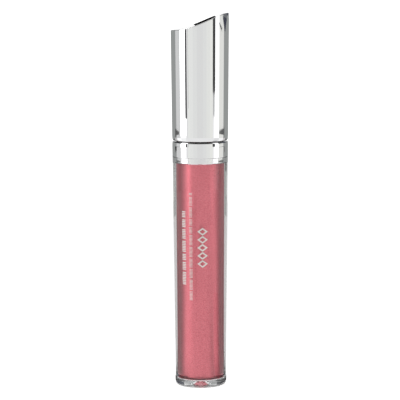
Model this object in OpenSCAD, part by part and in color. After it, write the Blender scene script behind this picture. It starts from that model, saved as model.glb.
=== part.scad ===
// Lip gloss tube: a thick clear bottle with a threaded neck, and a chromed screw cap with a slanted
// top that carries the applicator wand. Millimetres, +Z up. The origin is the centre of the foot
// that the tube stands on. The cap's slanted top is low at -X and high at +X.

/* [Outline] */
// Outer radius at the foot
foot_r = 7.58; // [7.4:0.01:7.9]
// Outer radius at the bottle's shoulder, so the bottle is a slow cone
shoulder_r = 8.4; // [8.3:0.01:8.5]
// Outer radius at the very top, so the cap is a slower cone
top_r = 8.8; // [8.6:0.01:9.2]
// Overall height, at the high side of the slanted top
total_h = 113.3; // [111:0.1:120]

/* [Base plug] */
// Height of the clear plug under the bottle
plug_h = 2.4; // [2:0.1:3]
// How far the plug stands proud of the bottle all round
plug_proud = 0.18; // [0:0.01:0.25]
// Radius of the rounded lower edge
heel_r = 0.7; // [0.3:0.1:1]
// Radius of the shallow dish in the underside
dish_r = 5.6; // [4:0.1:6]
// Radius of the pit in the middle of that dish
pit_r = 2.3; // [1.5:0.1:3]

/* [Bottle] */
// Height of the shoulder rim
shoulder_z = 70.1; // [68:0.1:71]
// Thickness of the web between the gloss and the base plug
floor_t = 0.2; // [0.2:0.1:1]
// Cavity radius at its floor
cavity_floor_r = 4.63; // [4.3:0.01:4.8]
// Bore radius at the neck
bore_r = 4.8; // [4.7:0.01:4.9]
// Radius of the cavity's lower corner
cavity_corner_r = 0.5; // [0.3:0.1:2]
// Depth of the recess behind the shoulder rim
recess_h = 1.8; // [1.2:0.1:2.2]
// Thickness of the clear shoulder rim
rim_t = 0.6; // [0.5:0.05:0.8]

/* [Neck and thread] */
// Height of the top of the neck
neck_z = 86; // [85:0.1:86.5]
// Neck radius between the threads
neck_r = 5.85; // [5.8:0.01:5.9]
// Height of a thread ridge
thread_depth = 0.55; // [0.4:0.01:0.6]
// Rise of the thread in one turn
thread_lead = 2.5; // [2.4:0.05:2.6]
// Turns of thread on the neck
neck_turns = 2; // [1.5:0.25:2]
// Turns of thread in the cap
cap_turns = 1.5; // [1:0.25:1.5]
// Clearance between the two threads
thread_gap = 0.15; // [0.12:0.01:0.18]

/* [Collar] */
// Height of the top of the chromed collar
collar_z = 74.8; // [74.3:0.1:75.2]
// Gap between the collar and the closed cap
seam_gap = 0.3; // [0.2:0.05:0.5]
// Radius of the edges on both sides of that gap
seam_edge_r = 0.15; // [0.1:0.01:0.25]
// Height over which the cap and the collar draw in towards the gap
ease_h = 1.5; // [1:0.1:2.5]
// How far they draw in
ease_in = 0.12; // [0:0.01:0.2]

/* [Cap] */
// Slope of the straight stretch of the slanted top, in degrees
slant_deg = 23; // [18:1:26]
// Radius of the hollow sweep at the low side of the slanted top
slant_hollow_r = 26; // [24:1:60]
// Radius of the rounded nose at the high side
slant_nose_r = 7; // [6:0.5:10]
// Thickness of the top wall
top_wall = 1.2; // [1:0.1:1.6]
// Bore of the shell that holds the threaded liner
shell_bore_r = 7.4; // [7.3:0.01:7.45]
// Thickness of the liner's crown
crown_t = 1.2; // [1:0.1:1.5]

/* [Wand] */
// Radius of the stem
stem_r = 1.6; // [1.4:0.05:1.7]
// Radius of the stem's root, pressed into the liner
root_r = 2.3; // [2.1:0.05:2.4]
// Radius of the flocked tip
tip_r = 2.4; // [2.1:0.05:2.5]
// Length of the flocked tip
tip_h = 14; // [12:0.5:16]
// Height of the tip's lower end above the foot
tip_z = 7; // [6:0.5:9]

/* [Hidden] */
$fn = 96;
eps = 0.01;

// Outer radius of the tube at height z: one cone up to the shoulder and a slower one above it
function cone_r(z) =
    z < shoulder_z ? foot_r + (shoulder_r - foot_r) * z / shoulder_z :
    shoulder_r + (top_r - shoulder_r) * (z - shoulder_z) / (total_h - shoulder_z);

// Bottle
cavity_floor_z = plug_h + floor_t;
recess_z = shoulder_z - recess_h;
rim_inner_r = shoulder_r - rim_t;
bottle_edge_r = 0.1;
bottle_foot_edge_r = 0.25;
// The neck's plain root, which the collar is pressed on, clears the thread
neck_root_r = neck_r + thread_depth + 0.05;

// Gloss
fill_z = 73;
fill_bore_r = tip_r + 0.35;
fill_bore_z = tip_z - 0.5;

// Wiper: a soft plug with a flange on the neck, and a funnel down to the lip that strips the stem
wiper_flange_r = neck_r - 0.1;
wiper_flange_t = 0.7;
wiper_wall = 0.7;
wiper_drop = 9.5;
wiper_lip_r = stem_r + 0.1;
wiper_lip_t = 0.6;
wiper_top_z = neck_z + wiper_flange_t;

// Gasket and liner
gasket_t = 1;
gasket_z = wiper_top_z + 0.05;
ceiling_z = gasket_z + gasket_t + 0.05;
liner_bore_r = neck_r + thread_depth + thread_gap;
liner_mouth_z = collar_z + seam_gap + 0.6;
liner_mouth_chamfer = 0.4;
boss_r = 3.3;
boss_h = 5.4;
root_h = 5;
crown_z = ceiling_z + crown_t;

// Weight: a steel ring round the liner's boss
weight_h = 4;
weight_gap = 0.3;

// The stem's thin core, which the flocked tip is slipped on
core_r = 0.9;
core_h = 9;
core_z = tip_z + tip_h - core_h;

// Cap shell
cap_z = collar_z + seam_gap;
shell_wall = 1;
shell_bore_top_z = crown_z + weight_h + 1;

// Thread ridges: root and crest widths along the axis
ridge_root_w = 1;
ridge_crest_w = 0.55;
neck_thread_z = 78;
thread_sink = 0.2;
ring_step_deg = 15;
ridge_taper_deg = 45;

// Slanted top: a hollow arc, a straight stretch and a rounded nose
slant_straight_x = 6;
slant_mid_z = total_h - slant_straight_x * tan(slant_deg) - slant_nose_r * (1 - cos(slant_deg));
slant_steps = 12;
hollow_x = -slant_hollow_r * sin(slant_deg);
hollow_z = slant_mid_z + slant_hollow_r * cos(slant_deg);
nose_x = slant_straight_x + slant_nose_r * sin(slant_deg);
nose_z = slant_mid_z + slant_straight_x * tan(slant_deg) - slant_nose_r * cos(slant_deg);

function slant_z(x) =
    x < 0 ? hollow_z - sqrt(slant_hollow_r ^ 2 - (x - hollow_x) ^ 2) :
    x < slant_straight_x ? slant_mid_z + x * tan(slant_deg) :
    nose_z + sqrt(max(0, slant_nose_r ^ 2 - (x - nose_x) ^ 2));

// Outline of the slanted top from x0 to x1, lowered by drop
function slant_points(x0, x1, drop) =
    [for (i = [0:slant_steps]) let (x = x0 + (x1 - x0) * i / slant_steps) [x, slant_z(x) - drop]];

// Everything under the slanted top lowered by drop
module under_slant(drop) {
    reach = 12;
    low_x = -top_r;
    high_x = nose_x;
    points = concat(
        [[-reach, slant_z(low_x) - drop]],
        slant_points(low_x, 0, drop),
        slant_points(slant_straight_x, high_x, drop),
        [[reach, slant_z(high_x) - drop], [reach, 0], [-reach, 0]]
    );
    rotate([90, 0, 0])
        linear_extrude(height = 2 * reach, center = true)
            polygon(points);
}

// Solid of revolution between two heights that follows the tube's cone, offset by proud. Each end
// draws in by its own amount over the last ease_h, and its edge is rounded by its own radius.
module cone_slice(z0, z1, low_edge, high_edge, low_in = 0, high_in = 0, proud = 0) {
    r0 = cone_r(z0) + proud - low_in;
    r1 = cone_r(z1) + proud - high_in;
    low_ease = low_in > 0 ? [[cone_r(z0 + ease_h) + proud, z0 + ease_h]] : [];
    high_ease = high_in > 0 ? [[cone_r(z1 - ease_h) + proud, z1 - ease_h]] : [];
    rotate_extrude()
        difference() {
            polygon(concat([[0, z0], [r0, z0]], low_ease, high_ease, [[r1, z1], [0, z1]]));
            edge_waste(r0, z0, low_edge, 1);
            edge_waste(r1, z1, high_edge, -1);
        }
}

// What a rounded edge of radius r removes at the corner (x, z), upwards if side is 1
module edge_waste(x, z, r, side) {
    if (r > 0)
        translate([x - r, z + side * r])
            difference() {
                translate([0, side > 0 ? -r - eps : 0])
                    square([r + eps + 0.05, r + eps]);
                circle(r = r);
            }
}

// Plain ring between two heights
module ring(r_in, r_out, z0, z1) {
    translate([0, 0, z0])
        difference() {
            cylinder(r = r_out, h = z1 - z0);
            translate([0, 0, -eps])
                cylinder(r = r_in, h = z1 - z0 + 2 * eps);
        }
}

// Helical ridge on a wall of radius wall_r, reaching out (side 1) or in (side -1) by thread_depth.
// It starts at z on the +X side, climbs anticlockwise, and tapers to nothing at both ends.
module thread_ridge(wall_r, side, z, turns) {
    rings = round(turns * 360 / ring_step_deg);
    function grow(a) = min(1, a / ridge_taper_deg, (turns * 360 - a) / ridge_taper_deg);
    function ridge_ring(a) =
        let (
            k = max(0.02, grow(a)),
            zc = z + thread_lead * a / 360,
            r_back = wall_r - side * thread_sink,
            r_crest = wall_r + side * thread_depth * k,
            root_w = ridge_root_w / 2,
            crest_w = ridge_crest_w / 2
        )
        [
            [r_back * cos(a), r_back * sin(a), zc - root_w],
            [r_crest * cos(a), r_crest * sin(a), zc - crest_w],
            [r_crest * cos(a), r_crest * sin(a), zc + crest_w],
            [r_back * cos(a), r_back * sin(a), zc + root_w]
        ];
    points = [for (i = [0:rings]) each ridge_ring(i * ring_step_deg)];
    walls = [for (i = [0:rings - 1], j = [0:3])
        let (a = 4 * i + j, b = 4 * i + (j + 1) % 4) each [[a, b, b + 4], [a, b + 4, a + 4]]];
    last = 4 * rings;
    ends = [[0, 2, 1], [0, 3, 2], [last, last + 1, last + 2], [last, last + 2, last + 3]];
    faces = concat(walls, ends);
    polyhedron(points = points, faces = side > 0 ? faces : [for (f = faces) [f[2], f[1], f[0]]]);
}

// Inside of the bottle, from its floor up through the neck
module cavity() {
    rotate_extrude()
        difference() {
            polygon([
                [0, cavity_floor_z],
                [cavity_floor_r, cavity_floor_z],
                [bore_r, shoulder_z],
                [bore_r, neck_z + 1],
                [0, neck_z + 1]
            ]);
            edge_waste(cavity_floor_r, cavity_floor_z, cavity_corner_r, 1);
        }
}

module bottle() {
    color([0.93, 0.93, 0.94, 0.4])
        difference() {
            union() {
                cone_slice(plug_h, shoulder_z, bottle_foot_edge_r, bottle_edge_r);
                cylinder(r = neck_root_r, h = collar_z);
                cylinder(r = neck_r, h = neck_z);
                thread_ridge(neck_r, 1, neck_thread_z, neck_turns);
            }
            ring(neck_root_r, rim_inner_r, recess_z, shoulder_z + 1);
            cavity();
            translate([0, 0, -eps])
                cylinder(r = foot_r + 1, h = plug_h + eps);
        }
}

// Pit above height z: its wall is an arc that starts at tip_deg from level and gets steeper outwards
module pit(z) {
    pit_h = 1.3;
    tip_deg = 15;
    steps = 8;
    rim_deg = 2 * atan(pit_h / pit_r) - tip_deg;
    arc_r = pit_r / (sin(rim_deg) - sin(tip_deg));
    wall = [for (i = [0:steps])
        let (a = tip_deg + (rim_deg - tip_deg) * i / steps)
        [arc_r * (sin(a) - sin(tip_deg)), z + arc_r * (cos(a) - cos(rim_deg))]
    ];
    rotate_extrude()
        polygon(concat(wall, [[pit_r, z - eps], [0, z - eps]]));
}

module base_plug() {
    dish_depth = 0.35;
    upper_edge_r = 0.2;
    color([0.9, 0.9, 0.92, 0.5])
        difference() {
            cone_slice(0, plug_h, heel_r, upper_edge_r, proud = plug_proud);
            translate([0, 0, -eps])
                cylinder(r = dish_r, h = dish_depth + eps);
            pit(dish_depth);
        }
}

module gloss_fill() {
    color([0.8, 0.42, 0.46])
        difference() {
            intersection() {
                cavity();
                cylinder(r = foot_r, h = fill_z);
            }
            translate([0, 0, fill_bore_z])
                cylinder(r = fill_bore_r, h = fill_z);
        }
}

module wiper() {
    funnel_z = neck_z - wiper_drop;
    inner_r = bore_r - wiper_wall;
    color([0.95, 0.95, 0.93])
        rotate_extrude()
            polygon([
                [wiper_lip_r, funnel_z],
                [bore_r - wiper_wall, funnel_z],
                [bore_r, funnel_z + 1],
                [bore_r, neck_z],
                [wiper_flange_r, neck_z],
                [wiper_flange_r, wiper_top_z],
                [inner_r, wiper_top_z],
                [inner_r, funnel_z + 4],
                [wiper_lip_r, funnel_z + wiper_lip_t]
            ]);
}

module collar() {
    skirt_gap = 0.05;
    lower_edge_r = 0.1;
    color([0.85, 0.86, 0.87])
        difference() {
            union() {
                cone_slice(shoulder_z, collar_z, lower_edge_r, seam_edge_r, high_in = ease_in);
                translate([0, 0, recess_z])
                    cylinder(r = rim_inner_r - skirt_gap, h = recess_h + eps);
            }
            cylinder(r = neck_root_r, h = neck_z);
        }
}

module cap_shell() {
    // The shell reaches above the slant before it is cut, so the cone is taken on up to reach_z
    reach_z = total_h + 2;
    hollow_top = cone_r(total_h) - shell_wall;
    color([0.87, 0.88, 0.89])
        difference() {
            intersection() {
                cone_slice(cap_z, reach_z, seam_edge_r, 0, low_in = ease_in);
                under_slant(0);
            }
            translate([0, 0, cap_z - eps])
                cylinder(r = shell_bore_r, h = shell_bore_top_z - cap_z + eps);
            intersection() {
                translate([0, 0, shell_bore_top_z - eps])
                    cylinder(r1 = shell_bore_r, r2 = hollow_top, h = total_h - shell_bore_top_z);
                under_slant(top_wall);
            }
        }
}

module cap_liner() {
    color([0.96, 0.96, 0.96])
        difference() {
            union() {
                ring(liner_bore_r, shell_bore_r, liner_mouth_z, ceiling_z);
                translate([0, 0, ceiling_z])
                    cylinder(r = shell_bore_r, h = crown_t);
                translate([0, 0, ceiling_z])
                    cylinder(r = boss_r, h = boss_h + crown_t - 0.6);
                thread_ridge(liner_bore_r, -1, neck_thread_z + thread_lead / 2, cap_turns);
            }
            translate([0, 0, ceiling_z - eps])
                cylinder(r = root_r, h = root_h + eps);
            translate([0, 0, liner_mouth_z - eps])
                cylinder(r1 = liner_bore_r + liner_mouth_chamfer, r2 = liner_bore_r - eps,
                         h = liner_mouth_chamfer);
        }
}

module cap_gasket() {
    color([0.8, 0.8, 0.78])
        ring(stem_r + 0.4, neck_r, gasket_z, gasket_z + gasket_t);
}

module cap_weight() {
    color([0.5, 0.5, 0.52])
        ring(boss_r + weight_gap, shell_bore_r - weight_gap, crown_z + 0.05, crown_z + weight_h);
}

module wand_stem() {
    color([0.97, 0.97, 0.97])
        union() {
            translate([0, 0, ceiling_z])
                cylinder(r = root_r, h = root_h);
            translate([0, 0, tip_z + tip_h])
                cylinder(r = stem_r, h = ceiling_z - tip_z - tip_h + eps);
            translate([0, 0, core_z])
                cylinder(r = core_r, h = core_h + eps);
        }
}

// Doe-foot: a flocked sleeve with a round end, cut to a long slanted face on the +X side
module applicator_tip() {
    end_r = 1.9;
    neck_h = 1;
    face_x = 0.4;
    face_deg = 14;
    color([0.93, 0.85, 0.83])
        difference() {
            rotate_extrude()
                difference() {
                    polygon([
                        [0, tip_z],
                        [tip_r, tip_z],
                        [tip_r, tip_z + tip_h - neck_h],
                        [stem_r, tip_z + tip_h],
                        [0, tip_z + tip_h]
                    ]);
                    edge_waste(tip_r, tip_z, end_r, 1);
                }
            translate([face_x, -tip_h / 2, tip_z])
                rotate([0, face_deg, 0])
                    cube(tip_h);
            translate([0, 0, core_z])
                cylinder(r = core_r, h = core_h + eps);
        }
}

bottle();
base_plug();
gloss_fill();
wiper();
collar();
cap_gasket();
cap_weight();
cap_shell();
cap_liner();
wand_stem();
applicator_tip();
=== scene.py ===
import math
import random

import bmesh
import bpy
from mathutils import Matrix, Vector


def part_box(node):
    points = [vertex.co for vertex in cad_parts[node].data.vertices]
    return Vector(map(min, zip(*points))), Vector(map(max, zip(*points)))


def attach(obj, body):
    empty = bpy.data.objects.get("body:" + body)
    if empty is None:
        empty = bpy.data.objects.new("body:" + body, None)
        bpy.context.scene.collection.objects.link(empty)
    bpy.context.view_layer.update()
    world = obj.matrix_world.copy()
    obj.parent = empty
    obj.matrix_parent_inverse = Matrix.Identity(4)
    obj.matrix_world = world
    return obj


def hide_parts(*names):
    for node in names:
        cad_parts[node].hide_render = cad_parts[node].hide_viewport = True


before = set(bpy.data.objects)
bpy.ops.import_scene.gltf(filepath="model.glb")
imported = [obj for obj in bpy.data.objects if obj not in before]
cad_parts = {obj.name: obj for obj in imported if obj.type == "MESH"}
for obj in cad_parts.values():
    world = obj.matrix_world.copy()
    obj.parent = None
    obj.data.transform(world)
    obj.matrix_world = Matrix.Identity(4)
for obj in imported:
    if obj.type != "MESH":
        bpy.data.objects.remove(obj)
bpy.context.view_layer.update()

# Looks of the lip gloss tube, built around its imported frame. Lengths are in millimetres until they
# reach a mesh or an object, which is in metres. Angles round the tube are azimuths in degrees: 0 is
# straight in front of it, at -Y, and 90 is at +X.

MM = 0.001
TURN = 2 * math.pi
SEGMENTS = 144
WAND_SEGMENTS = 64
TINY = 1e-6
SHADE_MARGIN = 0.04


# ---------------------------------------------------------------- places, from the frame

def node_box(node):
    """Lowest and highest corner of a CAD node, in millimetres."""
    low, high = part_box(node)
    return low / MM, high / MM


plug_low, plug_high = node_box("base_plug")
bottle_low, bottle_high = node_box("bottle")
_, gloss_high = node_box("gloss_fill")
wiper_low, wiper_high = node_box("wiper")
collar_low, collar_high = node_box("collar")
gasket_low, gasket_high = node_box("cap_gasket")
weight_low, weight_high = node_box("cap_weight")
shell_low, shell_high = node_box("cap_shell")
liner_low, liner_high = node_box("cap_liner")
stem_low, stem_high = node_box("wand_stem")
tip_low, tip_high = node_box("applicator_tip")

SEAM_Z = bottle_low.z
NECK_Z = bottle_high.z
RECESS_Z = collar_low.z
COLLAR_Z = collar_high.z
CAP_Z = shell_low.z
TOP_Z = shell_high.z
RECESS_H = 1.8
SHOULDER_Z = RECESS_Z + RECESS_H

PLUG_PROUD = 0.18
FOOT_R = (plug_high.x - plug_low.x) / 2 - PLUG_PROUD
SHOULDER_R = (bottle_high.x - bottle_low.x) / 2
TOP_R = shell_high.x
BOTTLE_FLARE = (SHOULDER_R - FOOT_R) / (SHOULDER_Z - SEAM_Z)
CAP_FLARE = (TOP_R - SHOULDER_R) / (TOP_Z - SHOULDER_Z)


def cone_r(z):
    """Outer radius of the tube at height z: one cone up to the shoulder and a slower one above it."""
    if z < SHOULDER_Z:
        return FOOT_R + BOTTLE_FLARE * (z - SEAM_Z)
    return SHOULDER_R + CAP_FLARE * (z - SHOULDER_Z)


# ---------------------------------------------------------------- sizes of the moulded details

RIM_T = 0.6
RIM_INNER_R = SHOULDER_R - RIM_T
CAVITY_FLOOR_T = 0.2
CAVITY_FLOOR_R = 4.63
CAVITY_CORNER_R = 0.5
BORE_R = 4.8
NECK_R = 5.85
THREAD_DEPTH = 0.55
THREAD_LEAD = 2.5
THREAD_Z = 78.0
NECK_TURNS = 2.0
CAP_TURNS = 1.5
RIDGE_ROOT_W = 1.0
RIDGE_CREST_W = 0.55
NECK_ROOT_R = NECK_R + THREAD_DEPTH + 0.05
LINER_BORE_R = NECK_R + THREAD_DEPTH + 0.15
SHELL_BORE_R = (liner_high.x - liner_low.x) / 2
STEM_R = 1.6
ROOT_R = (stem_high.x - stem_low.x) / 2
TIP_R = (tip_high.x - tip_low.x) / 2
TIP_END_R = 1.9
TIP_FACE_X = 0.4
TIP_FACE_SLOPE = math.tan(math.radians(14))
STEM_CEILING = gasket_high.z + 0.05

# The collar and the cap draw in a little towards the seam between them
SEAM_EDGE_R = 0.15
EASE_H = 1.5
EASE_IN = 0.12

# The slanted top: a hollow arc, a straight stretch and a rounded nose, as in the CAD
SLANT = math.radians(23)
HOLLOW_R = 26.0
NOSE_R = 7.0
STRAIGHT_X = 6.0
SLANT_MID_Z = TOP_Z - STRAIGHT_X * math.tan(SLANT) - NOSE_R * (1 - math.cos(SLANT))
HOLLOW_X = -HOLLOW_R * math.sin(SLANT)
HOLLOW_Z = SLANT_MID_Z + HOLLOW_R * math.cos(SLANT)
NOSE_X = STRAIGHT_X + NOSE_R * math.sin(SLANT)
NOSE_Z = SLANT_MID_Z + STRAIGHT_X * math.tan(SLANT) - NOSE_R * math.cos(SLANT)


def slant_z(x):
    """Height of the slanted top over the axis plane, at x."""
    if x < 0:
        return HOLLOW_Z - math.sqrt(HOLLOW_R**2 - (x - HOLLOW_X) ** 2)
    if x < STRAIGHT_X:
        return SLANT_MID_Z + x * math.tan(SLANT)
    return NOSE_Z + math.sqrt(max(0.0, NOSE_R**2 - (min(x, NOSE_X) - NOSE_X) ** 2))


# ---------------------------------------------------------------- mesh helpers

def arc(cx, cz, radius, start, end, steps=8):
    """Points (r, z) on an arc about (cx, cz), from start to end degrees, counted from +r towards +z."""
    angles = [math.radians(start + (end - start) * i / steps) for i in range(steps + 1)]
    return [(cx + radius * math.cos(a), cz + radius * math.sin(a)) for a in angles]


def run(z0, z1, radius_at, pitch=1.0):
    """Points up or down a wall, with a close row near each end so that shading stays true there."""
    rows = max(1, round(abs(z1 - z0) / pitch))
    way = math.copysign(1, z1 - z0)
    heights = [z0 + way * SHADE_MARGIN]
    heights += [z0 + (z1 - z0) * i / rows for i in range(1, rows)]
    heights += [z1 - way * SHADE_MARGIN]
    return [(radius_at(z), z) for z in heights]


def object_from(name, bm):
    """Puts a finished bmesh into the scene as an object."""
    mesh = bpy.data.meshes.new(name)
    bm.to_mesh(mesh)
    bm.free()
    obj = bpy.data.objects.new(name, mesh)
    bpy.context.scene.collection.objects.link(obj)
    return obj


def grid_object(name, rows, closed=True, wrap=False):
    """A smooth mesh from rows of points, in millimetres. A row of one point closes the surface.

    closed joins each row's last point to its first, and wrap joins the last row to the first.
    """
    bm = bmesh.new()
    made = [[bm.verts.new((x * MM, y * MM, z * MM)) for x, y, z in row] for row in rows]
    next_rows = made[1:] + made[:1] if wrap else made[1:]
    for below, above in zip(made, next_rows):
        count = max(len(below), len(above))
        last = count if closed else count - 1
        for i in range(last):
            j = (i + 1) % count
            ring = [below[0]] if len(below) == 1 else [below[i], below[j]]
            ring += [above[0]] if len(above) == 1 else [above[j], above[i]]
            bm.faces.new(ring)
    bmesh.ops.recalc_face_normals(bm, faces=bm.faces)
    obj = object_from(name, bm)
    obj.data.shade_smooth()
    return obj


def lathe(name, profile, radius_shift=None, segments=SEGMENTS):
    """Turns a profile of (r, z) points about the axis. It may close on itself, as a washer's does.

    radius_shift(angle, r, z) may add to a point's radius.
    """
    rows = []
    for r, z in profile:
        if r < TINY:
            rows.append([(0, 0, z)])
            continue
        row = []
        for i in range(segments):
            a = TURN * i / segments
            rr = r + (radius_shift(a, r, z) if radius_shift else 0)
            row.append((rr * math.cos(a), rr * math.sin(a), z))
        rows.append(row)
    if profile[0] == profile[-1] and profile[0][0] > TINY:
        return grid_object(name, rows[:-1], wrap=True)
    return grid_object(name, rows)


def sharpen(obj, degrees=40):
    """Marks as sharp the edges where faces meet at more than this angle."""
    bm = bmesh.new()
    bm.from_mesh(obj.data)
    limit = math.radians(degrees)
    for edge in bm.edges:
        edge.smooth = len(edge.link_faces) != 2 or edge.calc_face_angle(0) < limit
    bm.to_mesh(obj.data)
    bm.free()
    return obj


def place(obj, body, slot, material, *nodes):
    """Gives a piece its material and body, and hides the CAD nodes it stands for; slot is not used."""
    obj.data.materials.clear()
    obj.data.materials.append(material)
    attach(obj, body)
    if nodes:
        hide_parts(*nodes)
    return obj


# ---------------------------------------------------------------- camera

CAMERA_AWAY = 575.0
CAMERA_UP = 133.0
CAMERA_SIDE = -0.1
CAMERA_PITCH = 7.566
CAMERA_ROLL = -0.18
LENS_MM = 172.03


def make_camera():
    data = bpy.data.cameras.new("camera")
    camera = bpy.data.objects.new("camera", data)
    bpy.context.scene.collection.objects.link(camera)
    data.sensor_width = 36
    data.lens = LENS_MM
    data.clip_start = 0.01
    data.clip_end = 50
    data.dof.use_dof = False
    camera.location = Vector((CAMERA_SIDE, -CAMERA_AWAY, CAMERA_UP)) * MM
    tilt = Matrix.Rotation(math.radians(90 - CAMERA_PITCH), 4, "X")
    roll = Matrix.Rotation(math.radians(CAMERA_ROLL), 4, "Z")
    camera.rotation_euler = (tilt @ roll).to_euler()
    bpy.context.scene.camera = camera


make_camera()


# ---------------------------------------------------------------- studio: floor, ring of soft panels, sky

RING_R = 420.0
CARD_R = RING_R - 6
BEHIND_R = 100.0
LOW = 0.3
EYE_LINE = 95.0
HOOD = 165.0
FLAG_TOP = HOOD + 2
HIGH = 600.0
ROOF = 1700.0
STRIP = 114.0
SOFTBOX_LOW = 27.0
CARD_Z = 0.25
CARD_INNER_R = 8.6
CARD_STEP_DEG = 3
FLOOR_SIZE_M = 9
FLOOR_DROP_M = 0.00003
NAVY = (0.05, 0.055, 0.075)
ROSY_GREY = (0.6, 0.585, 0.585)


def emission_material(name, value):
    """A plain glow, grey if value is one number."""
    material = bpy.data.materials.new(name)
    material.use_nodes = True
    nodes = material.node_tree.nodes
    nodes.clear()
    out = nodes.new("ShaderNodeOutputMaterial")
    glow = nodes.new("ShaderNodeEmission")
    colour = value if isinstance(value, tuple) else (value, value, value)
    strength = max(colour)
    glow.inputs["Color"].default_value = tuple(c / strength for c in colour) + (1,)
    glow.inputs["Strength"].default_value = strength
    material.node_tree.links.new(glow.outputs[0], out.inputs["Surface"])
    return material


def card(name, corners, value, segments=1):
    """A glowing card that only the tube's materials see. Its corners are two rows of (azimuth, radius, z)."""
    (a0, r0, z0), (a1, r1, z1), (b0, s0, y0), (b1, s1, y1) = corners
    rows = []
    for (u0, q0, w0), (u1, q1, w1) in (((a0, r0, z0), (a1, r1, z1)), ((b0, s0, y0), (b1, s1, y1))):
        row = []
        for i in range(segments + 1):
            t = i / segments
            azimuth = math.radians(u0 + (u1 - u0) * t)
            radius = q0 + (q1 - q0) * t
            row.append((radius * math.sin(azimuth), -radius * math.cos(azimuth), w0 + (w1 - w0) * t))
        rows.append(row)
    obj = grid_object(name, rows, closed=False)
    obj.data.materials.append(emission_material(name, value))
    obj.visible_camera = False
    obj.visible_shadow = False
    return obj


def panel(name, azimuth0, azimuth1, value, z0=LOW, z1=HIGH, radius=RING_R):
    """A curved upright panel between two azimuths and two heights."""
    steps = max(1, math.ceil(abs(azimuth1 - azimuth0) / CARD_STEP_DEG))
    corners = [(azimuth, radius, z) for z in (z0, z1) for azimuth in (azimuth0, azimuth1)]
    return card(name, corners, value, steps)


def floor_card(name, azimuth0, azimuth1, value, r0=CARD_INNER_R, r1=RING_R, z=CARD_Z):
    """A sector of glowing card that lies on the floor."""
    steps = max(1, math.ceil(abs(azimuth1 - azimuth0) / CARD_STEP_DEG))
    corners = [(azimuth, radius, z) for radius in (r0, r1) for azimuth in (azimuth0, azimuth1)]
    return card(name, corners, value, steps)


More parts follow.
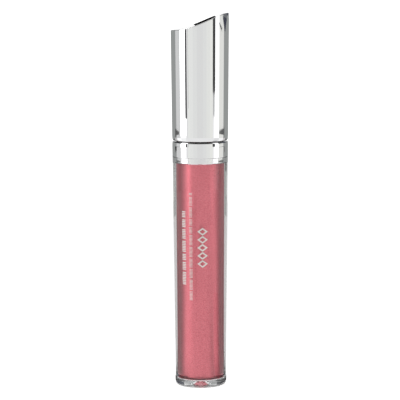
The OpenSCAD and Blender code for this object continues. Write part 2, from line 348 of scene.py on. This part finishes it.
def make_studio():
    """The floor, the sky and the cards. A panel's numbers are two azimuths, its glow and two heights."""
    # in front: a grey panel, brighter to its sides, with a dark hood above it
    front = ((-50, (0.86, 0.87, 0.84)), (-42, (0.83, 0.835, 0.82)), (-28, (0.79, 0.795, 0.785)),
             (-12, (0.755, 0.755, 0.75)), (12, (0.78, 0.785, 0.775)), (26, (0.82, 0.825, 0.80)),
             (40, (0.86, 0.865, 0.83)), (53, None))
    for i, ((azimuth, value), (beyond, _)) in enumerate(zip(front, front[1:])):
        panel(f"front_{i}", azimuth, beyond, value, LOW, HOOD)
    panel("hood", -57, 57, 0.012, HOOD, ROOF)
    panel("gap_left", -61, -50, 0.8, LOW, HOOD)
    panel("gap_right", 53, 61, 0.9, LOW, HOOD)
    flag = [(-62.5, CARD_R, 39), (-54, CARD_R, 39), (-61.5, CARD_R, FLAG_TOP), (-55.7, CARD_R, FLAG_TOP)]
    card("flag_left", flag, 0.1, 4)
    panel("line_left", -49, -47.6, 0.42, 44, HOOD, CARD_R)
    panel("line_right", 53.5, 61, 0.5, 40, 52, CARD_R)
    panel("flag_right", 52.2, 63.4, 0.06, 52, FLAG_TOP, CARD_R)

    # at the sides: tall softboxes, then greyer walls
    panel("softbox_left", -87, -57, 2.2, SOFTBOX_LOW)
    panel("softbox_left_foot", -87, -57, 1.2, LOW, SOFTBOX_LOW)
    panel("softbox_right", 57, 83, 1.3)
    panel("wall_left", -114, -87, 0.66, LOW, EYE_LINE)
    panel("wall_right", 83, 110.5, (0.8, 0.8, 0.77), LOW, EYE_LINE)
    panel("high_wall_left", -100, -87, 0.08, EYE_LINE, HIGH)
    panel("high_wall_right", 83, 101, 0.08, EYE_LINE, HIGH)

    # behind: a mid grey wall, open above the eye line, with dark corners beside the opening
    panel("wall_back", 110.5, 246, (0.315, 0.325, 0.32), LOW, EYE_LINE)
    panel("corner_right", 101, 134, NAVY, 93.2, HIGH)
    panel("corner_back", 134, 150, NAVY, EYE_LINE, HIGH)
    panel("corner_left", 208, 260, (0.03, 0.03, 0.035), EYE_LINE, HIGH)
    panel("strip_right", 150, 177, 0.5, EYE_LINE, STRIP)
    panel("strip_left", 177, 208, 0.34, EYE_LINE, STRIP)
    wedge = [(107.5, CARD_R, 89.5), (126.3, CARD_R, 89.5), (101, CARD_R, 93.3), (133.5, CARD_R, 93.3)]
    card("wedge_right", wedge, NAVY, 8)
    tail = [(115, CARD_R, 86), (120, CARD_R, 86), (107.5, CARD_R, 89.6), (126.3, CARD_R, 89.6)]
    card("wedge_tail", tail, NAVY, 8)
    hook = [(95.5, CARD_R, 85.2), (100, CARD_R, 86.3), (81.5, CARD_R, 88.3), (84, CARD_R, 89)]
    card("hook_right", hook, 0.03, 4)
    panel("flag_behind", 178.5, 182.5, 0.008, 108, 120, BEHIND_R)

    # low dark strips that mark the cap's and the bottle's edges near the collar
    mark_left = [(-124, CARD_R, 31), (-96, CARD_R, 31.5), (-124, CARD_R, 36.5), (-96, CARD_R, 33.5)]
    card("mark_left", mark_left, 0.1, 8)
    mark_right = [(84, CARD_R, 31.5), (118, CARD_R, 31), (84, CARD_R, 33.5), (118, CARD_R, 36.5)]
    card("mark_right", mark_right, 0.12, 8)
    panel("streak_left", -127, -113, 0.04, 24.5, 30.5, CARD_R)
    panel("streak_right", 116, 124, 0.2, 24, 29.5, CARD_R)

    # the floor, as the glass and the chrome see it, with painted contact shadow round the foot
    floor_card("floor_front", -60, 60, 0.86)
    floor_card("floor_left", -84, -60, 1.0)
    floor_card("floor_far_left", -110, -84, 1.1)
    floor_card("floor_right", 60, 84, 0.35, CARD_INNER_R, 150)
    floor_card("floor_right_outer", 60, 84, 0.8, 150, RING_R)
    floor_card("floor_far_right", 84, 110, 1.0)
    floor_card("floor_back_right", 110, 128, ROSY_GREY)
    floor_card("floor_back", 128, 232, 0.14)
    # The dark ring card round the foot is painted shadow. It stands for the contact shadow round the base,
    # which the glowing floor doesn't show, as the glass sees it.
    floor_card("floor_near_painted_shadow", 66, 294, 0.05, CARD_INNER_R, 17, CARD_Z + 0.05)
    floor_card("floor_back_left", 232, 250, ROSY_GREY)

    bpy.ops.mesh.primitive_plane_add(size=FLOOR_SIZE_M, location=(0, 0, -FLOOR_DROP_M))
    floor = bpy.context.object
    floor.name = "floor"
    material = bpy.data.materials.new("floor")
    material.use_nodes = True
    shader = material.node_tree.nodes["Principled BSDF"]
    shader.inputs["Base Color"].default_value = (0.3, 0.3, 0.3, 1)
    shader.inputs["Roughness"].default_value = 0.7
    shader.inputs["Emission Color"].default_value = (1, 1, 1, 1)
    shader.inputs["Emission Strength"].default_value = 0.95
    floor.data.materials.append(material)

    world = bpy.data.worlds.new("sky")
    bpy.context.scene.world = world
    world.use_nodes = True
    sky = world.node_tree.nodes["Background"]
    sky.inputs["Color"].default_value = (1, 1, 1, 1)
    sky.inputs["Strength"].default_value = 1.0
    bpy.context.scene.view_settings.view_transform = "Standard"


make_studio()


# ---------------------------------------------------------------- materials

def new_material(name):
    material = bpy.data.materials.new(name)
    material.use_nodes = True
    tree = material.node_tree
    return material, tree, tree.nodes["Principled BSDF"]


def object_noise(tree, scale, detail=2.0, stretch=(1, 1, 1)):
    """Noise over the piece's own coordinates, in metres, so it stays put on the piece."""
    coordinates = tree.nodes.new("ShaderNodeTexCoord")
    mapping = tree.nodes.new("ShaderNodeMapping")
    mapping.inputs["Scale"].default_value = stretch
    noise = tree.nodes.new("ShaderNodeTexNoise")
    noise.inputs["Scale"].default_value = scale
    noise.inputs["Detail"].default_value = detail
    tree.links.new(coordinates.outputs["Object"], mapping.inputs["Vector"])
    tree.links.new(mapping.outputs["Vector"], noise.inputs["Vector"])
    return noise.outputs["Fac"]


def spread(tree, value, low, high):
    """Maps noise round 0.3 to 0.7 onto low to high."""
    node = tree.nodes.new("ShaderNodeMapRange")
    node.inputs["From Min"].default_value = 0.3
    node.inputs["From Max"].default_value = 0.7
    node.inputs["To Min"].default_value = low
    node.inputs["To Max"].default_value = high
    tree.links.new(value, node.inputs["Value"])
    return node.outputs["Result"]


def bump(tree, shader, height, depth_mm, strength):
    node = tree.nodes.new("ShaderNodeBump")
    node.inputs["Strength"].default_value = strength
    node.inputs["Distance"].default_value = depth_mm * MM
    tree.links.new(height, node.inputs["Height"])
    tree.links.new(node.outputs["Normal"], shader.inputs["Normal"])


def mix_colours(tree, factor, first, second):
    node = tree.nodes.new("ShaderNodeMix")
    node.data_type = "RGBA"
    node.inputs["A"].default_value = first + (1,)
    node.inputs["B"].default_value = second + (1,)
    tree.links.new(factor, node.inputs["Factor"])
    return node.outputs["Result"]


def chrome(name):
    """Vacuum-metallised plastic: a mirror with the faintest waviness and a few soft rub marks."""
    material, tree, shader = new_material(name)
    shader.inputs["Metallic"].default_value = 1.0
    shader.inputs["Base Color"].default_value = (0.9, 0.905, 0.91, 1)
    rub = object_noise(tree, 220, 3, (1, 1, 0.25))
    tree.links.new(spread(tree, rub, 0.015, 0.045), shader.inputs["Roughness"])
    wave = object_noise(tree, 90, 1)
    bump(tree, shader, wave, 0.004, 0.5)
    return material


def clear_plastic(name, tint=(0.985, 0.985, 0.985)):
    """Polished clear plastic with faint flow marks along it."""
    material, tree, shader = new_material(name)
    shader.inputs["Base Color"].default_value = tint + (1,)
    shader.inputs["Transmission Weight"].default_value = 1.0
    shader.inputs["IOR"].default_value = 1.5
    flow = object_noise(tree, 150, 1, (1, 1, 0.15))
    tree.links.new(spread(tree, flow, 0.0, 0.02), shader.inputs["Roughness"])
    return material


def pearl_gloss(name):
    """Rose gloss with mica: a deep pink body with a metallic sheen, and fine lighter and darker flecks."""
    material, tree, shader = new_material(name)
    grain = object_noise(tree, 3600, 2)
    cloud = object_noise(tree, 300, 3, (1, 1, 0.35))
    fine = mix_colours(tree, spread(tree, grain, 0, 1), (0.76, 0.155, 0.20), (0.96, 0.27, 0.315))
    tree.links.new(fine, shader.inputs["Base Color"])
    shader.inputs["Metallic"].default_value = 0.8
    tree.links.new(spread(tree, cloud, 0.27, 0.34), shader.inputs["Roughness"])
    bump(tree, shader, grain, 0.03, 0.35)
    return material


def plain_plastic(name, colour, roughness, bump_mm=0.006, scale=900):
    """Moulded plastic with a little unevenness in colour and finish."""
    material, tree, shader = new_material(name)
    dark = tuple(c * 0.93 for c in colour)
    mottle = object_noise(tree, scale / 4, 3)
    tree.links.new(mix_colours(tree, spread(tree, mottle, 0, 1), dark, colour), shader.inputs["Base Color"])
    skin = object_noise(tree, scale, 2)
    tree.links.new(spread(tree, skin, roughness * 0.85, roughness * 1.15), shader.inputs["Roughness"])
    bump(tree, shader, skin, bump_mm, 0.4)
    return material


def turned_steel(name):
    """Steel with fine lines round it from the lathe."""
    material, tree, shader = new_material(name)
    shader.inputs["Metallic"].default_value = 1.0
    shader.inputs["Base Color"].default_value = (0.5, 0.5, 0.52, 1)
    lines = object_noise(tree, 1500, 2, (0.05, 0.05, 3))
    tree.links.new(spread(tree, lines, 0.25, 0.45), shader.inputs["Roughness"])
    bump(tree, shader, lines, 0.01, 0.4)
    return material


CHROME_CAP = chrome("cap_chrome")
CHROME_COLLAR = chrome("collar_chrome")
CLEAR = clear_plastic("clear_plastic")
CLEAR_PLUG = clear_plastic("plug_plastic", (0.975, 0.975, 0.98))
GLOSS = pearl_gloss("pink_gloss")
WHITE_LINER = plain_plastic("liner_plastic", (0.86, 0.86, 0.85), 0.3)
STEM_WHITE = plain_plastic("stem_plastic", (0.88, 0.87, 0.86), 0.28)
WIPER_SOFT = plain_plastic("wiper_plastic", (0.83, 0.83, 0.8), 0.5)
FOAM = plain_plastic("gasket_foam", (0.75, 0.75, 0.72), 0.8, 0.03, 3000)
INK = plain_plastic("print_ink", (0.93, 0.88, 0.84), 0.5)
FLOCK = plain_plastic("tip_flock", (0.78, 0.4, 0.43), 0.7, 0.02, 5000)
STEEL = turned_steel("weight_steel")


# ---------------------------------------------------------------- bottle

# The gloss reaches a little into the glass, so that no thin gap of air spoils the refraction
GLASS_OVERLAP = 0.02

# The pit under the foot: its wall starts at PIT_TIP_DEG from level and gets steeper outwards
PIT_R = 2.3
PIT_H = 1.3
PIT_TIP_DEG = 15
EDGE_R = 0.1
FOOT_EDGE_R = 0.25
CAVITY_FLOOR_Z = SEAM_Z + CAVITY_FLOOR_T


def bore_r(z):
    """Radius of the gloss chamber and the neck's bore at height z."""
    share = min(1.0, max(0.0, (z - CAVITY_FLOOR_Z) / (SHOULDER_Z - CAVITY_FLOOR_Z)))
    return CAVITY_FLOOR_R + (BORE_R - CAVITY_FLOOR_R) * share


def ridge(angle, z, z0, turns):
    """Height of a right-hand thread ridge, 0 to 1, at a place on a wall."""
    best = 0.0
    for lap in range(math.ceil(turns) + 1):
        along = angle + TURN * lap
        if not 0 <= along <= turns * TURN:
            continue
        off = abs(z - z0 - THREAD_LEAD * along / TURN)
        flank = (RIDGE_ROOT_W - RIDGE_CREST_W) / 2
        height = min(1.0, max(0.0, (RIDGE_ROOT_W / 2 - off) / flank))
        taper = math.radians(45)
        ends = min(1.0, along / taper, (turns * TURN - along) / taper)
        best = max(best, height * ends)
    return best


def cavity_profile(grow):
    """The gloss chamber from the middle of its floor up to the straight wall, moved outwards by grow."""
    corner = CAVITY_CORNER_R + grow
    cx = CAVITY_FLOOR_R - CAVITY_CORNER_R
    cz = CAVITY_FLOOR_Z + CAVITY_CORNER_R
    points = [(0, CAVITY_FLOOR_Z - grow), (cx / 2, CAVITY_FLOOR_Z - grow)]
    points += [(cx - 0.05, CAVITY_FLOOR_Z - grow)]
    points += arc(cx, cz, corner, -90, 0, 10)
    return points


def bottle():
    profile = cavity_profile(0)
    floor_top = CAVITY_FLOOR_Z + CAVITY_CORNER_R
    profile += run(floor_top, NECK_Z - EDGE_R, bore_r, 2.0)
    profile += arc(BORE_R + EDGE_R, NECK_Z - EDGE_R, EDGE_R, 180, 90, 3)
    profile += arc(NECK_R - EDGE_R, NECK_Z - EDGE_R, EDGE_R, 90, 0, 3)
    profile += run(NECK_Z - EDGE_R, COLLAR_Z + EDGE_R, lambda z: NECK_R, 0.1)
    profile += [(NECK_ROOT_R, COLLAR_Z), (NECK_ROOT_R, COLLAR_Z - 0.05)]
    profile += [(NECK_ROOT_R, RECESS_Z + 0.05), (NECK_ROOT_R, RECESS_Z), (NECK_ROOT_R + 0.1, RECESS_Z)]
    profile += [(RIM_INNER_R - 0.1, RECESS_Z), (RIM_INNER_R, RECESS_Z + 0.1)]
    profile += [(RIM_INNER_R, SHOULDER_Z - EDGE_R - 0.05)]
    profile += arc(RIM_INNER_R + EDGE_R, SHOULDER_Z - EDGE_R, EDGE_R, 180, 90, 5)
    profile += arc(SHOULDER_R - EDGE_R, SHOULDER_Z - EDGE_R, EDGE_R, 90, 0, 5)
    profile += run(SHOULDER_Z - EDGE_R, SEAM_Z + FOOT_EDGE_R, cone_r, 2.0)
    edge_r = cone_r(SEAM_Z) - FOOT_EDGE_R
    profile += arc(edge_r, SEAM_Z + FOOT_EDGE_R, FOOT_EDGE_R, 0, -90, 8)
    profile += [(edge_r - 0.05, SEAM_Z), (edge_r / 2, SEAM_Z), (0, SEAM_Z)]

    def thread(angle, r, z):
        on_wall = abs(r - NECK_R) < TINY
        return THREAD_DEPTH * ridge(angle, z, THREAD_Z, NECK_TURNS) if on_wall else 0

    obj = sharpen(lathe("bottle_wall", profile, thread))
    return place(obj, "bottle", "clear_plastic", CLEAR, "bottle")


def base_plug():
    heel_r = 0.7
    dish_r = 5.6
    dish_depth = 0.35
    gap = 0.012
    upper_edge_r = 0.2
    top = SEAM_Z - gap
    rim_deg = 2 * math.degrees(math.atan(PIT_H / PIT_R)) - PIT_TIP_DEG
    tip_sin = math.sin(math.radians(PIT_TIP_DEG))
    arc_r = PIT_R / (math.sin(math.radians(rim_deg)) - tip_sin)
    arc_z = dish_depth - arc_r * math.cos(math.radians(rim_deg))
    wall = arc(-arc_r * tip_sin, arc_z, arc_r, 90 - PIT_TIP_DEG, 90 - rim_deg, 12)
    profile = [(0, wall[0][1])] + wall[1:] + [(PIT_R + 0.05, dish_depth), (dish_r - 0.5, dish_depth)]
    profile += [(dish_r - 0.3, dish_depth - 0.03), (dish_r, 0.04), (dish_r + 0.1, 0)]

    def side(z):
        return cone_r(z) + PLUG_PROUD

    foot = side(0) - heel_r
    profile += [(foot - 0.05, 0)]
    profile += arc(foot, heel_r, heel_r, -90, 0, 10)
    profile += run(heel_r, top - upper_edge_r, side, 0.6)
    profile += arc(side(top) - upper_edge_r, top - upper_edge_r, upper_edge_r, 0, 90, 6)
    profile += [(side(top) - upper_edge_r - 0.1, top), (3, top), (0, top)]
    obj = sharpen(lathe("foot_plug", profile))
    return place(obj, "bottle", "plug_plastic", CLEAR_PLUG, "base_plug")


def gloss_fill():
    bore = TIP_R + 0.35
    bore_floor = tip_low.z - 0.5
    profile = cavity_profile(GLASS_OVERLAP)
    floor_top = CAVITY_FLOOR_Z + CAVITY_CORNER_R
    top = gloss_high.z
    profile += run(floor_top, top - 0.1, lambda z: bore_r(z) + GLASS_OVERLAP, 2.0)
    profile += [(BORE_R - 0.1, top), (bore + 0.3, top), (bore, top - 0.3)]
    profile += [(bore, bore_floor + 0.5), (bore - 0.5, bore_floor), (0, bore_floor)]
    obj = sharpen(lathe("gloss", profile))
    return place(obj, "bottle", "pink_gloss", GLOSS, "gloss_fill")


# ---------------------------------------------------------------- print on the bottle

INK_PROUD = 0.015
LOZENGES = 5
LOZENGE_AZIMUTH = 4.5
LOZENGE_Z = 38.3
LOZENGE_PITCH = 2.45
LOZENGE_SIDES = 4
SIDE_PIECES = 4


def ink_patch(bm, points):
    """Adds one flat patch of ink from corners given as (mm round from the azimuth, height, azimuth)."""
    made = []
    for across, z, azimuth in points:
        radius = cone_r(z) + INK_PROUD
        angle = math.radians(azimuth) + across / radius
        made.append(bm.verts.new((radius * math.sin(angle) * MM, -radius * math.cos(angle) * MM, z * MM)))
    bm.faces.new(made)


def lozenge(bm, azimuth, z, width, height, stroke):
    """An outlined lozenge."""
    outer = [(-width / 2, 0), (0, -height / 2), (width / 2, 0), (0, height / 2)]
    share = 1 - 2 * stroke / min(width, height)
    for i in range(LOZENGE_SIDES):
        j = (i + 1) % LOZENGE_SIDES
        for k in range(SIDE_PIECES):
            t0 = k / SIDE_PIECES
            t1 = (k + 1) / SIDE_PIECES
            corners = []
            for t, inner in ((t0, 1), (t1, 1), (t1, share), (t0, share)):
                x = (outer[i][0] + (outer[j][0] - outer[i][0]) * t) * inner
                y = (outer[i][1] + (outer[j][1] - outer[i][1]) * t) * inner
                corners.append((x, z + y, azimuth))
            ink_patch(bm, corners)


def ticks(bm, rng, azimuth, width, z0, z1, thick, pitch):
    """A column of short strokes across the tube, in groups with gaps between them."""
    z = z0
    left = rng.randint(4, 9)
    while z < z1:
        for k in range(2):
            a = width * (k - 1) / 2
            b = width * k / 2
            corners = [(a, z, azimuth), (b, z, azimuth), (b, z + thick, azimuth), (a, z + thick, azimuth)]
            ink_patch(bm, corners)
        left -= 1
        z += pitch
        if left == 0:
            left = rng.randint(4, 9)
            z += pitch


def print_marks():
    """Plain marks in pale ink: one column of lozenges up the bottle and two columns of ticks."""
    rng = random.Random(11)
    bm = bmesh.new()
    for i in range(LOZENGES):
        z = LOZENGE_Z + LOZENGE_PITCH * i
        lozenge(bm, LOZENGE_AZIMUTH, z, width=3.2, height=2.35, stroke=0.5)
    ticks(bm, rng, azimuth=-21, width=1.0, z0=27.2, z1=59.7, thick=0.16, pitch=0.4)
    ticks(bm, rng, azimuth=-37.7, width=1.3, z0=31.8, z1=54.8, thick=0.3, pitch=0.5)
    bmesh.ops.recalc_face_normals(bm, faces=bm.faces)
    return place(object_from("print_marks", bm), "bottle", "liner_plastic", INK)


# ---------------------------------------------------------------- wiper and collar


def wiper():
    lip_r = STEM_R + 0.1
    inner = BORE_R - 0.7
    outer = BORE_R + 0.005
    flange_r = NECK_R - 0.1
    low = wiper_low.z
    high = wiper_high.z
    profile = [(lip_r, low + 0.1), (lip_r + 0.1, low)]
    profile += [(inner - 0.1, low), (outer - 0.1, low + 0.8), (outer, low + 1.0), (outer, low + 1.1)]
    profile += [(outer, NECK_Z - 0.05), (outer, NECK_Z + 0.01), (outer + 0.1, NECK_Z + 0.01)]
    profile += [(flange_r - 0.1, NECK_Z + 0.01), (flange_r, NECK_Z + 0.12)]
    profile += arc(flange_r - 0.25, high - 0.25, 0.25, 0, 90, 4)
    profile += arc(inner + 0.25, high - 0.25, 0.25, 90, 180, 4)
    profile += [(inner, low + 4.2), (inner - 0.1, low + 3.9)]
    profile += [(lip_r + 0.15, low + 0.8), (lip_r, low + 0.55), (lip_r, low + 0.1)]
    obj = sharpen(lathe("neck_wiper", profile))
    return place(obj, "bottle", "wiper_plastic", WIPER_SOFT, "wiper")


def eased_r(z, end_z):
    """Outer radius near the seam between collar and cap, where each draws in towards its end at end_z."""
    share = max(0.0, 1 - abs(z - end_z) / EASE_H)
    return cone_r(z) - EASE_IN * share**2


def collar():
    lower = 0.06
    base = SHOULDER_Z + 0.02
    skirt_r = RIM_INNER_R - 0.05
    bore = NECK_ROOT_R + 0.01
    edge_r = eased_r(COLLAR_Z, COLLAR_Z) - SEAM_EDGE_R
    profile = [(bore, RECESS_Z + 0.1), (bore + 0.1, RECESS_Z + 0.01)]
    profile += arc(skirt_r - 0.15, RECESS_Z + 0.16, 0.15, -90, 0, 4)
    profile += run(RECESS_Z + 0.16, base, lambda z: skirt_r, 0.6)
    profile += [(skirt_r + 0.05, base)]
    profile += arc(cone_r(base) - lower, base + lower, lower, -90, 0, 3)
    profile += run(base + lower, COLLAR_Z - SEAM_EDGE_R, lambda z: eased_r(z, COLLAR_Z), 0.2)
    profile += arc(edge_r, COLLAR_Z - SEAM_EDGE_R, SEAM_EDGE_R, 0, 90, 6)
    profile += [(edge_r - 0.05, COLLAR_Z), (bore + 0.15, COLLAR_Z), (bore, COLLAR_Z - 0.15)]
    profile += [(bore, RECESS_Z + 0.1)]
    obj = sharpen(lathe("collar_ring", profile))
    return place(obj, "bottle", "collar_chrome", CHROME_COLLAR, "collar")


# ---------------------------------------------------------------- cap

RIM_R = 0.15


def cap_section(angle):
    """Outer profile of the cap in the half-plane at this angle, from its lower edge up and in to the axis."""
    c = math.cos(angle)
    wall_tilt = math.atan(CAP_FLARE)

    def top(r):
        return slant_z(r * c)

    # the wall and the slanted top meet at the corner; the rim's arc touches both
    r = cone_r(TOP_Z)
    for _ in range(6):
        r = cone_r(top(r))
    near = r - RIM_R
    slope = math.atan((top(near + 0.1) - top(near - 0.1)) / 0.2)
    wall_normal = Vector((math.cos(wall_tilt), -math.sin(wall_tilt)))
    top_normal = Vector((-math.sin(slope), math.cos(slope)))
    corner = Vector((r, top(r)))
    bisector = (wall_normal + top_normal) / (1 + wall_normal.dot(top_normal))
    centre = corner - bisector * RIM_R
    start = math.atan2(wall_normal.y, wall_normal.x)
    end = math.atan2(top_normal.y, top_normal.x)
    rim = [
        (centre.x + RIM_R * math.cos(a), centre.y + RIM_R * math.sin(a))
        for a in [start + (end - start) * i / 12 for i in range(13)]
    ]
    last_r, last_z = rim[-1]
    lift = last_z - top(last_r)
    edge_r = eased_r(CAP_Z, CAP_Z) - SEAM_EDGE_R
    points = arc(edge_r, CAP_Z + SEAM_EDGE_R, SEAM_EDGE_R, -90, 0, 6)
    points += run(CAP_Z + SEAM_EDGE_R, CAP_Z + EASE_H, lambda z: eased_r(z, CAP_Z), 0.2)[:-1]
    low = CAP_Z + EASE_H
    high = rim[0][1]
    rows = 44
    for i in range(rows + 1):
        z = low + (high - low) * i / rows
        z -= SHADE_MARGIN if i == rows else 0
        points.append((cone_r(z), z))
    points += rim
    inner_rows = 24
    for i in range(1, inner_rows):
        rr = last_r * (1 - i / inner_rows)
        if i == 1:
            points.append((last_r - SHADE_MARGIN, top(last_r - SHADE_MARGIN) + lift))
        points.append((rr, top(rr) + lift * (1 - i / inner_rows) ** 4))
    points.append((0, top(0)))
    return points


def cap_shell():
    """Outer skin from the lower edge to the slanted top, and the inner skin that holds the liner."""
    sections = [cap_section(TURN * i / SEGMENTS) for i in range(SEGMENTS)]
    rows = []
    inner_r = SHELL_BORE_R + 0.02
    roof = weight_high.z + 1.0
    inner = [(0, roof), (inner_r * 0.5, roof), (inner_r - 0.3, roof), (inner_r, roof - 0.3)]
    inner += run(roof - 0.3, CAP_Z + 0.25, lambda z: inner_r, 2.0)
    inner += [(inner_r, CAP_Z + 0.2), (inner_r + 0.08, CAP_Z + 0.06), (inner_r + 0.2, CAP_Z)]
    for r, z in inner:
        if r < TINY:
            rows.append([(0, 0, z)])
        else:
            rows.append([
                (r * math.cos(TURN * i / SEGMENTS), r * math.sin(TURN * i / SEGMENTS), z)
                for i in range(SEGMENTS)
            ])
    for k in range(len(sections[0]) - 1):
        rows.append([
            (s[k][0] * math.cos(TURN * i / SEGMENTS), s[k][0] * math.sin(TURN * i / SEGMENTS), s[k][1])
            for i, s in enumerate(sections)
        ])
    rows.append([(0, 0, sections[0][-1][1])])
    obj = sharpen(grid_object("cap_outer", rows))
    return place(obj, "cap", "cap_chrome", CHROME_CAP, "cap_shell")


def cap_liner():
    mouth = liner_low.z
    ceiling = STEM_CEILING
    crown = weight_low.z - 0.05
    outer = SHELL_BORE_R - 0.02
    boss_r = 3.3
    socket_top = stem_high.z
    profile = [(ROOT_R, socket_top - 0.1), (ROOT_R, ceiling + 0.15)]
    profile += arc(ROOT_R + 0.15, ceiling + 0.15, 0.15, 180, 270, 3)
    profile += [(LINER_BORE_R - 0.2, ceiling), (LINER_BORE_R, ceiling - 0.2)]
    profile += run(ceiling - 0.2, mouth + 0.4, lambda z: LINER_BORE_R, 0.1)
    profile += [(LINER_BORE_R + 0.35, mouth), (LINER_BORE_R + 0.4, mouth)]
    profile += [(outer - 0.15, mouth), (outer, mouth + 0.15)]
    profile += run(mouth + 0.15, crown - 0.1, lambda z: outer, 2.0)
    profile += [(outer - 0.1, crown), (boss_r + 0.1, crown), (boss_r, crown + 0.1)]
    top = liner_high.z
    profile += [(boss_r, top - 0.2), (boss_r - 0.2, top), (0.5, top), (0, top)]
    profile = [(0, socket_top), (ROOT_R - 0.1, socket_top)] + profile

    def thread(angle, r, z):
        on_wall = abs(r - LINER_BORE_R) < TINY and z < ceiling - 0.3
        return -THREAD_DEPTH * ridge(angle, z, THREAD_Z + THREAD_LEAD / 2, CAP_TURNS) if on_wall else 0

    obj = sharpen(lathe("inner_cap", profile, thread))
    return place(obj, "cap", "liner_plastic", WHITE_LINER, "cap_liner")


def washer(name, r_in, r_out, z0, z1, edge):
    """A flat ring with rounded edges."""
    profile = arc(r_in + edge, z0 + edge, edge, 180, 270, 4)
    profile += arc(r_out - edge, z0 + edge, edge, 270, 360, 4)
    profile += arc(r_out - edge, z1 - edge, edge, 0, 90, 4)
    profile += arc(r_in + edge, z1 - edge, edge, 90, 180, 4)
    profile += [profile[0]]
    return sharpen(lathe(name, profile))


def cap_gasket():
    obj = washer("sealing_washer", STEM_R + 0.4, NECK_R, gasket_low.z, gasket_high.z, 0.12)
    return place(obj, "seal", "gasket_foam", FOAM, "cap_gasket")


def cap_weight():
    obj = washer("weight_ring", 3.6, weight_high.x, weight_low.z, weight_high.z, 0.25)
    return place(obj, "weight", "weight_steel", STEEL, "cap_weight")


def wand_stem():
    ceiling = STEM_CEILING
    neck_z = tip_high.z
    core_r = 0.9
    profile = [(0, stem_low.z), (core_r - 0.1, stem_low.z), (core_r, stem_low.z + 0.1)]
    profile += run(stem_low.z + 0.1, neck_z - 0.05, lambda z: core_r - 0.01, 1.0)
    profile += [(core_r, neck_z), (STEM_R - 0.15, neck_z), (STEM_R, neck_z + 0.15)]
    profile += run(neck_z + 0.15, ceiling - 0.5, lambda z: STEM_R, 2.0)
    profile += [(STEM_R + 0.05, ceiling - 0.25), (STEM_R + 0.2, ceiling - 0.05), (ROOT_R - 0.02, ceiling)]
    profile += [(ROOT_R - 0.02, ceiling + 0.1), (ROOT_R - 0.02, stem_high.z - 0.3)]
    profile += [(ROOT_R - 0.3, stem_high.z - 0.02), (0, stem_high.z - 0.02)]
    obj = sharpen(lathe("wand_rod", profile, segments=WAND_SEGMENTS))
    return place(obj, "cap", "stem_plastic", STEM_WHITE, "wand_stem")


def applicator_tip():
    low = tip_low.z
    high = tip_high.z
    profile = [(0, low)]
    profile += arc(TIP_R - TIP_END_R, low + TIP_END_R, TIP_END_R, -90, 0, 10)[1:]
    profile += run(low + TIP_END_R, high - 1.0, lambda z: TIP_R, 0.5)
    profile += [(TIP_R - 0.2, high - 0.5), (STEM_R + 0.1, high - 0.1), (STEM_R, high)]
    profile += [(0, high)]
    obj = lathe("flocked_tip", profile, segments=WAND_SEGMENTS)
    for vertex in obj.data.vertices:
        limit = (TIP_FACE_X + TIP_FACE_SLOPE * (vertex.co.z / MM - low)) * MM
        vertex.co.x = min(vertex.co.x, limit)
    return place(sharpen(obj), "cap", "tip_flock", FLOCK, "applicator_tip")


FIBRES = 3200
FIBRE_LENGTHS = (0.16, 0.27)
FIBRE_HALF_W = 0.03
FIBRE_ROOT = 0.05
FIBRE_LEAN = 0.3
ACROSS = Vector((0.3, 0.5, 1))


def flock_pile():
    """Short fibres that stand out of the tip, leaning a little every way."""
    rng = random.Random(7)
    low = tip_low.z
    bm = bmesh.new()
    for _ in range(FIBRES):
        z = rng.uniform(low + 0.4, tip_high.z - 0.7)
        angle = rng.uniform(0, TURN)
        end_dip = max(0.0, low + TIP_END_R - z)
        radius = TIP_R - TIP_END_R + math.sqrt(TIP_END_R**2 - end_dip**2)
        x = radius * math.cos(angle)
        y = radius * math.sin(angle)
        out = Vector((math.cos(angle), math.sin(angle), -end_dip / TIP_END_R))
        limit = TIP_FACE_X + TIP_FACE_SLOPE * (z - low)
        if x > limit:
            x = limit
            out = Vector((1, 0, -TIP_FACE_SLOPE))
        lean = Vector([rng.gauss(0, FIBRE_LEAN) for _ in range(3)])
        way = (out.normalized() + lean).normalized() * rng.uniform(*FIBRE_LENGTHS)
        side = way.cross(ACROSS).normalized() * FIBRE_HALF_W
        root = Vector((x, y, z)) - out.normalized() * FIBRE_ROOT
        blade = [bm.verts.new(point * MM) for point in (root - side, root + side, root + way)]
        bm.faces.new(blade)
    return place(object_from("flock_pile", bm), "cap", "tip_flock", FLOCK)


bottle()
base_plug()
gloss_fill()
print_marks()
wiper()
collar()
cap_shell()
cap_liner()
cap_gasket()
cap_weight()
wand_stem()
applicator_tip()
flock_pile()
